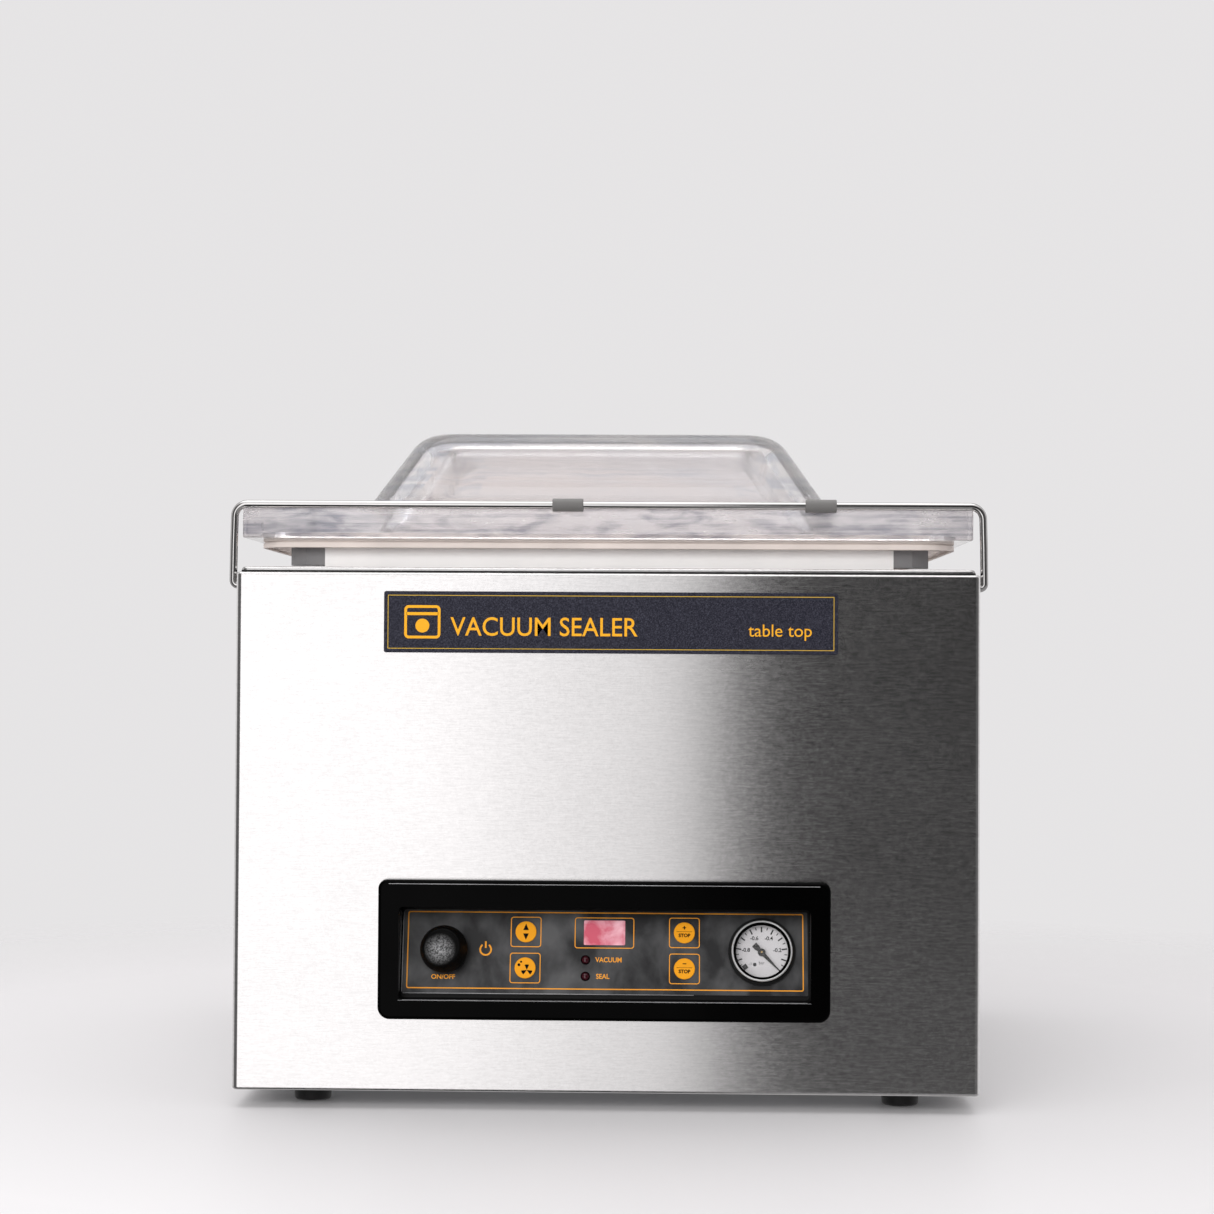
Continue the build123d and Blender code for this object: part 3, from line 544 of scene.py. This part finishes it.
lid = loft("clear_lid", lid_loops(), MATERIALS["clear_acrylic"], "lid")
lid.data.materials.append(MATERIALS["acrylic_edge"])
lid.data.materials.append(MATERIALS["acrylic_bend"])
SAWN_SLOT, BENT_SLOT = 1, 2
SAWN_FROM = 225.0
BEND_FROM = 3.0
FLANGE_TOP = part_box("lid_cover")[0][2] + FLANGE_THICK * MM
DOME_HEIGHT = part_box("lid_cover")[1][2] - FLANGE_TOP
WALL_SLOPE = DOME_LEAN * MM / math.hypot(DOME_LEAN * MM, DOME_HEIGHT)
for polygon in lid.data.polygons:
    normal, middle = polygon.normal, polygon.center
    turned = min(abs(normal.x), abs(normal.y)) > 0.06 or WALL_SLOPE + 0.06 < normal.z < 0.97
    if turned and normal.z > 0 and middle.z > FLANGE_TOP + BEND_FROM * MM:
        polygon.material_index = BENT_SLOT
    if abs(normal.z) < 0.5 and max(abs(middle.x), abs(middle.y - FLANGE_MIDDLE * MM)) > SAWN_FROM * MM:
        polygon.material_index = SAWN_SLOT
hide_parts("lid_cover")

# ------------------------------------------------------------------ lift springs
springs = bpy.data.objects.new("spring_pair", NODES["lift_springs"].data.copy())
springs.matrix_world = NODES["lift_springs"].matrix_world.copy()
bpy.context.scene.collection.objects.link(springs)
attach(springs, "housing")
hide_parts("lift_springs")
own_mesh(springs)

# ------------------------------------------------------------------ painted highlight lines on the bezel and panel edges, painted shade in the deck seam
FILM_EDGE_R = 0.34
LIP_LEFT = -137.0
LIP_RIGHT = 136.4
LIP_Z = 72.75
SEAM_SHADE_DROP = 3.6
SEAM_SHADE_HIGH = 1.3
SEAM_SHADE_OUT = 0.3
SEAM_SHADE_CORNER = 4.3


def highlight_bead(name, x0, x1, y, z, r):
    """A thin pale bead running along X, with rounded ends, that paints a highlight line along an edge."""
    stations = [(x0, 0.15), (x0 + r, 0.8), (x0 + 2.5 * r, 1.0)]
    stations += [(x1 - 2.5 * r, 1.0), (x1 - r, 0.8), (x1, 0.15)]
    count = 12
    verts = [(x, a, b) for x, k in stations for a, b in disc(y, z, r * k, count)]
    mesh_piece(name, verts, skin(len(stations), count), MATERIALS["highlight_paint"], "housing")


def film_edge_highlight(name, start, stop):
    """A bright line along the cut edge of the printed film, between two points of the panel: a painted
    highlight.
    """
    a, b = (on_face(FACE_PANEL, *end, 0.1) for end in (start, stop))
    across = (b - a).normalized().cross(PANEL_OUT)
    count = 8
    verts = [end + across * u + PANEL_OUT * v for end in (a, b) for u, v in disc(0, 0, FILM_EDGE_R, count)]
    mesh_piece(name, verts, skin(2, count), MATERIALS["highlight_paint"], "housing")


bezel_low, bezel_high = (Vector(corner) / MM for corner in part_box("control_bezel"))
# painted highlight lines along the bezel's top edge and the bottom lip of its window
highlight_bead("bezel_top_highlight", bezel_low.x + 6, bezel_high.x - 6, bezel_low.y + 0.45, bezel_high.z - 2.6, 0.5)
deck_high = Vector(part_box("chamber_deck")[1]) / MM
# painted shade: a black strip round the seam under the deck's edge stands in for the shadow there
seam_shade_loops = []
for out, rise in ((0.0, 0.0), (0.0, SEAM_SHADE_HIGH), (-1.0, SEAM_SHADE_HIGH), (-1.0, 0.0)):
    loop = rounded_loop(0, 0, deck_high.x + SEAM_SHADE_OUT + out, deck_high.y + SEAM_SHADE_OUT + out, SEAM_SHADE_CORNER + out)
    seam_shade_loops.append((loop, deck_high.z - SEAM_SHADE_DROP + rise))
loft("deck_seam_shade", seam_shade_loops, MATERIALS["black_rubber"], "housing", ring=True)
highlight_bead("bezel_lip_highlight", LIP_LEFT, LIP_RIGHT, bezel_low.y + 0.4, LIP_Z, 0.42)

# ------------------------------------------------------------------ on/off button
BUTTON = [(0.01, -18.0), (6.0, -18.0), (6.0, 6.6), (13.4, 7.0), (14.9, 7.7), (15.6, 9.2), (15.7, 11.0),
          (15.3, 13.0), (14.3, 17.0), (13.1, 20.6), (12.3, 22.4), (11.9, 23.2), (11.4, 23.7), (10.9, 23.8),
          (10.4, 23.55)]
DISH = [(r, 22.2 + 0.0114 * r * r) for r in (9.6, 8.4, 7.0, 5.4, 3.6, 1.8, 0.6)]
button = lathe("button_cap", BUTTON + DISH, KNOB, MATERIALS["knob_skin"], "on_off")
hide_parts("on_off_button")
# painted highlight lines along the film's left and lower edges
film_edge_highlight("label_highlight_left", (-133.7, 0.6), (-133.7, 54.0))
film_edge_highlight("label_highlight_low", (-133.0, -0.2), (60.0, -0.2))

# ------------------------------------------------------------------ printing
INK_H = 0.06
KEY_TOP = 0.94
DIAL_H = -3.15
plate_low, plate_high = (Vector(corner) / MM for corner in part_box("nameplate"))
PLATE_CENTRE = Vector(((plate_low.x + plate_high.x) / 2, plate_low.y, (plate_low.z + plate_high.z) / 2))
FACE_PLATE = (PLATE_CENTRE, Vector((1, 0, 0)), Vector((0, 0, 1)), Vector((0, -1, 0)))
ON_PANEL = dict(face=FACE_PANEL, h=INK_H, material=INK_AMBER)
ON_PLATE = dict(face=FACE_PLATE, h=INK_H, material=INK_YELLOW)
ON_KEY = dict(face=FACE_PANEL, h=KEY_TOP, material=INK_BLACK, slot="component_black")
ON_DIAL = dict(face=FACE_PANEL, h=DIAL_H, material=INK_BLACK, slot="component_black")


def print_shape(name, outline, face, h, material, body="housing", slot="amber_key", hole=None, thick=0.05):
    """A thin printed shape with a real thickness, from an outline on a face."""
    verts = []
    faces = []
    count = len(outline)
    for level in (h - thick, h):
        verts += [on_face(face, u, v, level) for u, v in outline]
        if hole:
            verts += [on_face(face, u, v, level) for u, v in hole]
    layer = len(verts) // 2
    for i in range(count):
        j = (i + 1) % count
        faces.append((i, j, layer + j, layer + i))
        if hole:
            faces.append((count + j, count + i, layer + count + i, layer + count + j))
            faces.append((layer + i, layer + j, layer + count + j, layer + count + i))
            faces.append((j, i, count + i, count + j))
    if not hole:
        faces.append(tuple(layer + i for i in range(count)))
        faces.append(tuple(range(count))[::-1])
    mesh_piece(name, verts, faces, material, body, smooth=False)


def frame_line(name, centre, half_w, half_h, r, width, **ink):
    """A printed line around a rounded rectangle."""
    outer = rounded_loop(*centre, half_w, half_h, r, arc=8, side=2)
    inner = rounded_loop(*centre, half_w - width, half_h - width, max(r - width, 0.05), arc=8, side=2)
    print_shape(name, outer, hole=inner, **ink)


def lettering(name, text, centre, height, face, h, material, body="housing", slot="amber_key", bold=0.0,
              stretch=1.0):
    """Generic printed words, centred on a point of a face."""
    curve = bpy.data.curves.new(name, "FONT")
    curve.body = text
    curve.size = height / 0.72 * MM
    curve.align_x = "CENTER"
    curve.align_y = "CENTER"
    curve.extrude = 0.02 * MM
    curve.offset = bold * MM
    curve.resolution_u = 4
    obj = bpy.data.objects.new(name, curve)
    bpy.context.scene.collection.objects.link(obj)
    _, right, up, out = face
    place = Matrix((right * stretch, up, out)).transposed().to_4x4()
    place.translation = on_face(face, *centre, h) * MM
    obj.matrix_world = place
    curve.materials.append(material)
    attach(obj, body)


def bar(centre, x0, x1, y0, y1):
    """The four corners of an upright rectangle placed from a centre."""
    u, v = centre
    return [(u + x0, v + y0), (u + x1, v + y0), (u + x1, v + y1), (u + x0, v + y1)]


# ------------------------------------------------------------------ panel print
KEY_SPOTS = {
    "up_down": (-51.8, 40.9), "program": (-52.0, 16.9), "plus": (53.7, 41.1), "minus": (53.8, 17.2),
}
LAMP_DOME = [(0.01, -6.0), (2.6, -6.0), (2.6, 0.0), (2.5, 0.45), (2.2, 0.95), (1.7, 1.35), (1.0, 1.6),
             (0.3, 1.7)]
LAMP_COLLAR = [(2.62, -0.3), (3.15, -0.3), (3.15, 0.2), (3.0, 0.35), (2.7, 0.35)]
frame_line("label_border", (1.0, 28.6), 131.8, 25.7, 1.5, 0.75, **ON_PANEL)
for key, spot in KEY_SPOTS.items():
    frame_line(f"frame_{key}", spot, 10.2, 10.1, 1.9, 0.55, **ON_PANEL)
frame_line("frame_display", (0.5, 40.6), 19.8, 10.3, 1.9, 0.55, **ON_PANEL)


def up_down_marks(u, v):
    """Two arrowheads, one down and one up."""
    for name, sign in (("arrow_down", -1), ("arrow_up", 1)):
        tip = [(u - 1.9, v + sign * 1.1), (u + 1.9, v + sign * 1.1), (u, v + sign * 5.4)]
        print_shape(name, tip[::sign], body="up_down_key", **ON_KEY)


def program_marks(u, v):
    """A three-bladed fan and two drops."""
    for index in range(3):
        angle = math.radians(90 + 120 * index)
        blade = [(u + 1.2, v - 1.4)]
        for step in range(9):
            turn = angle - 0.42 + 0.84 * step / 8
            blade.append((u + 1.2 + 3.7 * math.cos(turn), v - 1.4 + 3.7 * math.sin(turn)))
        print_shape(f"fan_mark_{index}", blade, body="program_key", **ON_KEY)
    for index, (du, dv, r) in enumerate(((-4.1, 2.0, 0.95), (-2.7, 4.0, 0.7))):
        print_shape(f"drop_mark_{index}", disc(u + du, v + dv, r, 20), body="program_key", **ON_KEY)


def step_marks(key):
    """A plus or a minus over a rule and a word."""
    u, v = KEY_SPOTS[key]
    bars = [(-1.2, 1.2, -0.32, 0.32)] + ([(-0.32, 0.32, -1.2, 1.2)] if key == "plus" else [])
    for index, sides in enumerate(bars):
        ink = dict(ON_KEY, h=KEY_TOP + 0.01 * index)
        print_shape(f"{key}_bar_{index}", bar((u, v + 3.3), *sides), body=f"{key}_key", **ink)
    print_shape(f"{key}_rule", bar((u, v), -5.2, 5.2, 0.55, 0.8), body=f"{key}_key", **ON_KEY)
    lettering(f"{key}_stop", "STOP", (u, v - 1.9), 2.3, body=f"{key}_key", bold=0.14, **ON_KEY)


def power_mark(centre):
    """A broken ring with an upright stem."""
    arc = []
    steps = list(range(25))
    for r, order in ((4.2, steps), (3.1, steps[::-1])):
        for step in order:
            angle = math.radians(125 + 290 * step / 24)
            arc.append((centre[0] + r * math.cos(angle), centre[1] + r * math.sin(angle)))
    print_shape("power_arc", arc, **ON_PANEL)
    print_shape("power_stem", bar(centre, -0.55, 0.55, 1.0, 5.4), **ON_PANEL)


def lamp(index, spot):
    """A small domed red lamp in a black collar."""
    lens = lathe(f"lamp_{index}", LAMP_DOME, spot, MATERIALS["red_led"], "housing", 40)
    lathe(f"lamp_ring_{index}", LAMP_COLLAR, spot, MATERIALS["gloss_black"], "housing", 40,
          ring=True)
    return lens


up_down_marks(*KEY_SPOTS["up_down"])
program_marks(*KEY_SPOTS["program"])
step_marks("plus")
step_marks("minus")
lettering("word_vacuum", "VACUUM", (3.5, 22.6), 3.3, bold=0.07, stretch=0.92, **ON_PANEL)
lettering("word_seal", "SEAL", (-0.4, 11.6), 3.3, bold=0.07, stretch=0.92, **ON_PANEL)
lettering("word_on_off", "ON/OFF", (-106.4, 10.6), 3.0, bold=0.08, stretch=1.05, **ON_PANEL)
power_mark((-78.5, 29.0))
lamps = [lamp(index, spot) for index, spot in enumerate(((-11.9, 22.6), (-11.9, 11.7)))]
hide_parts("status_leds")

# ------------------------------------------------------------------ gauge
GAUGE = (105.1, 28.8)
DIAL_START = -45
DIAL_SWEEP = 270
RIM = [(18.6, 2.2), (20.3, 2.2), (20.3, 6.1), (20.1, 6.6), (19.8, 6.9), (19.5, 7.0), (19.2, 6.85),
       (19.0, 6.5), (18.6, 5.6)]
LIP = [(17.2, 4.46), (18.3, 4.46), (18.58, 4.6), (18.98, 6.4), (18.6, 6.2), (17.6, 4.9)]
chrome = lathe("gauge_rim", RIM, GAUGE, MATERIALS["chrome_ring"], "housing", ring=True)
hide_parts("gauge_ring")
# a black ring inside the chrome rim: the case's dark inner wall, with painted shade where the rim shades the
# dial's edge
lathe("gauge_lip", LIP, GAUGE, MATERIALS["gloss_black"], "housing", ring=True)


def dial_point(value, radius):
    """A point on the dial where 0 is at the lower right and -1 at the lower left."""
    angle = math.radians(DIAL_START + DIAL_SWEEP * -value)
    return GAUGE[0] + radius * math.cos(angle), GAUGE[1] + radius * math.sin(angle)


def dial_mark(name, value, inner, outer, width):
    """A straight mark on the dial, pointing at its middle."""
    a = Vector(dial_point(value, inner))
    b = Vector(dial_point(value, outer))
    side = (b - a).normalized().orthogonal() * width / 2
    print_shape(name, [a - side, a + side, b + side, b - side][::-1], **ON_DIAL)


def dial_stop():
    """The square pin that the needle rests on, turned a little on the dial."""
    u, v = dial_point(-0.985, 14.6)
    turn = 0.6
    block = [(u + x * math.cos(turn) - y * math.sin(turn), v + x * math.sin(turn) + y * math.cos(turn))
             for x, y in bar((0, 0), -1.6, 1.6, -1.6, 1.6)]
    print_shape("dial_stop", block, thick=0.4, **dict(ON_DIAL, h=DIAL_H + 0.4))


for tick in range(21):
    major = tick % 2 == 0
    dial_mark(f"dial_tick_{tick}", -tick / 20, 13.6 if major else 15.2, 17.1, 1.0 if major else 0.6)
for value in (-0.8, -0.6, -0.4, -0.2):
    lettering(f"dial_{int(-value * 10)}", f"{value:.1f}", dial_point(value, 10.6), 2.6, bold=0.1, **ON_DIAL)
lettering("dial_10", "-1", dial_point(-1.0, 10.6), 2.1, **ON_DIAL)
lettering("dial_0", "0", dial_point(0.0, 10.6), 2.1, **ON_DIAL)
lettering("dial_unit", "bar", (GAUGE[0], GAUGE[1] - 6.8), 2.1, **ON_DIAL)
print_shape("dial_hole", disc(GAUGE[0] - 4.6, GAUGE[1] - 7.9, 1.2, 24), **ON_DIAL)
dial_stop()
print_shape("needle_pin", disc(*GAUGE, 0.75, 24), FACE_PANEL, -0.1, BRASS, "needle", "screw_steel", thick=0.3)

# ------------------------------------------------------------------ nameplate print
POUCH = (-124.5, 0.0)
frame_line("plate_border", (0, 0), 147.5, 17.8, 0.5, 0.45, **dict(ON_PLATE, material=INK_PALE))
lettering("plate_words", "VACUUM SEALER", (-44.0, -3.6), 12.6, bold=0.08, stretch=0.92, **ON_PLATE)
lettering("plate_right", "table top", (112.0, -5.0), 8.4, **ON_PLATE)
frame_line("pouch_outline", POUCH, 12.0, 11.0, 3.0, 1.8, **ON_PLATE)
print_shape("pouch_seam", bar(POUCH, -10.5, 10.5, 4.4, 6.4), **ON_PLATE)
print_shape("pouch_fill", disc(POUCH[0], -2.5, 4.6), **ON_PLATE)

# ------------------------------------------------------------------ stage, lights, camera
STAGE_COLOR = (0.75, 0.737, 0.745)
FLOOR_RADIUS = 2.0
FLOOR_FADE = (0.62, 1.1)
BACKDROP_GLOW = 0.79
SOFTBOX_GLOW = 1.42
INNER_GLOW = SOFTBOX_GLOW * 0.68
FILL_GLOW = 0.9
FLAG_GLOW = 0.035
RIGHT_GLOW = FLAG_GLOW * 0.8
EDGE_GLOW = 0.12
FLOOR_GLOW = 0.3
REAR_LOW_GLOW = 0.75 * 0.62
REAR_HIGH_GLOW = 0.75 * 1.15
WORLD_TINT = (1.0, 0.985, 0.993, 1)
CAMERA_PLACE = (39.6, -1903.6, 295.7)
CAMERA_TURN = (-1.373, 1.268, 0.336)
CAMERA_LENS = 74.13


def floor():
    """A pale table top under the machine, which fades out into the backdrop."""
    rim = [(x, y, 0.0) for x, y in disc(0, 0, FLOOR_RADIUS, 96)]
    mesh = bpy.data.meshes.new("floor")
    mesh.from_pydata(rim, [], [tuple(range(len(rim)))])
    obj = bpy.data.objects.new("floor", mesh)
    bpy.context.scene.collection.objects.link(obj)
    paint = Paint("floor_paper", STAGE_COLOR, 0.5)
    paint.bump(paint.noise(3.0, detail=2.0), 0.05)
    place = paint.node("ShaderNodeTexCoord")
    length = paint.node("ShaderNodeVectorMath", operation="LENGTH")
    paint.link(place.outputs["Object"], length.inputs[0])
    fade = paint.spread(length.outputs["Value"], 1.0, 0.0, *FLOOR_FADE)
    paint.link(fade, paint.shader.inputs["Alpha"])
    mesh.materials.append(paint.mat)
    obj.visible_glossy = False


def world():
    """An even pale backdrop, and in reflections a softbox on the left, a dark right side and a pale rear."""
    studio = bpy.data.worlds.new("studio")
    bpy.context.scene.world = studio
    studio.use_nodes = True
    tree = studio.node_tree
    make = tree.nodes.new
    link = tree.links.new
    place = make("ShaderNodeTexCoord")
    axes = make("ShaderNodeSeparateXYZ")
    link(place.outputs["Generated"], axes.inputs[0])

    def math_node(operation, *values):
        made = make("ShaderNodeMath")
        made.operation = operation
        for index, value in enumerate(values):
            if isinstance(value, float):
                made.inputs[index].default_value = value
            else:
                link(value, made.inputs[index])
        return made.outputs[0]

    def ramp(axis, start, stop):
        """0 before start, 1 after stop along one direction, or along a worked-out value."""
        remap = make("ShaderNodeMapRange")
        remap.interpolation_type = "SMOOTHSTEP"
        link(axes.outputs[axis] if isinstance(axis, str) else axis, remap.inputs["Value"])
        remap.inputs["From Min"].default_value = start
        remap.inputs["From Max"].default_value = stop
        return remap.outputs["Result"]

    def blend(factor, first, second):
        mix = make("ShaderNodeMix")
        mix.data_type = "FLOAT"
        link(factor, mix.inputs[0])
        for index, value in ((2, first), (3, second)):
            if isinstance(value, float):
                mix.inputs[index].default_value = value
            else:
                link(value, mix.inputs[index])
        return mix.outputs[0]

    box = blend(ramp("X", -0.12, 0.0), SOFTBOX_GLOW, INNER_GLOW)
    left = blend(ramp("Z", -0.5, -0.3), FLAG_GLOW, box)
    left = blend(ramp("Z", 0.26, 0.4), left, FILL_GLOW)
    left = blend(ramp("X", -0.42, -0.34), EDGE_GLOW, left)
    right = blend(ramp("X", 0.3, 0.8), RIGHT_GLOW, EDGE_GLOW)
    right = blend(ramp("Z", -0.45, -0.14), FLOOR_GLOW, right)
    # the edge between left and right bows slightly right, above and below a direction just under level
    level = math_node("ADD", axes.outputs["Z"], 0.06)
    bow = math_node("MINIMUM", math_node("MULTIPLY", math_node("MULTIPLY", level, level), 4.0), 0.007)
    side = blend(ramp(math_node("SUBTRACT", axes.outputs["X"], bow), -0.008, 0.034), left, right)
    front = blend(ramp("Z", 0.5, 0.85), side, FILL_GLOW)
    rear = blend(ramp("Z", -0.45, 0.1), REAR_LOW_GLOW, REAR_HIGH_GLOW)
    around = blend(ramp("Y", -0.25, 0.2), front, rear)
    path = make("ShaderNodeLightPath")
    through = math_node("MULTIPLY", path.outputs["Transmission Depth"], ramp("Y", -0.3, 0.35))
    seen = math_node("MINIMUM", math_node("MAXIMUM", path.outputs["Is Camera Ray"], through), 1.0)
    link(blend(seen, around, BACKDROP_GLOW), tree.nodes["Background"].inputs["Strength"])
    tree.nodes["Background"].inputs["Color"].default_value = WORLD_TINT


def softbox(name, place, aim, size, power, mirrored=True):
    """A rectangular light aimed at a point, which can be hidden from mirror-like surfaces."""
    light = bpy.data.lights.new(name, "AREA")
    light.shape = "RECTANGLE"
    light.size, light.size_y = size
    light.energy = power
    obj = bpy.data.objects.new(name, light)
    obj.location = place
    obj.rotation_euler = (Vector(aim) - Vector(place)).to_track_quat("-Z", "Y").to_euler()
    obj.visible_glossy = mirrored
    bpy.context.scene.collection.objects.link(obj)


floor()
world()
bpy.context.scene.view_settings.view_transform = "Standard"
softbox("overhead", (-0.2, -0.1, 2.4), (0, 0, 0.2), (2.4, 2.4), 20)
softbox("low_left", (-1.7, -1.7, 0.75), (0, -0.2, 0.3), (0.9, 0.9), 10, mirrored=False)
softbox("front_fill", (-0.3, -1.9, 0.75), (0, -0.2, 0.25), (1.3, 0.6), 16, mirrored=False)


def camera():
    """The camera stands level with the lid, slightly to the right, and looks along +Y."""
    data = bpy.data.cameras.new("camera")
    data.lens = CAMERA_LENS
    data.sensor_width = 36.0
    data.clip_end = 50.0
    obj = bpy.data.objects.new("camera", data)
    yaw, pitch, roll = (math.radians(angle) for angle in CAMERA_TURN)
    forward = Vector((math.sin(yaw) * math.cos(pitch), math.cos(yaw) * math.cos(pitch), math.sin(pitch)))
    level = Vector((math.cos(yaw), -math.sin(yaw), 0.0))
    upright = level.cross(forward)
    right = level * math.cos(roll) + upright * math.sin(roll)
    up = upright * math.cos(roll) - level * math.sin(roll)
    turn = Matrix((right, up, -forward)).transposed().to_4x4()
    turn.translation = Vector(CAMERA_PLACE) * MM
    obj.matrix_world = turn
    bpy.context.scene.collection.objects.link(obj)
    bpy.context.scene.camera = obj


camera()
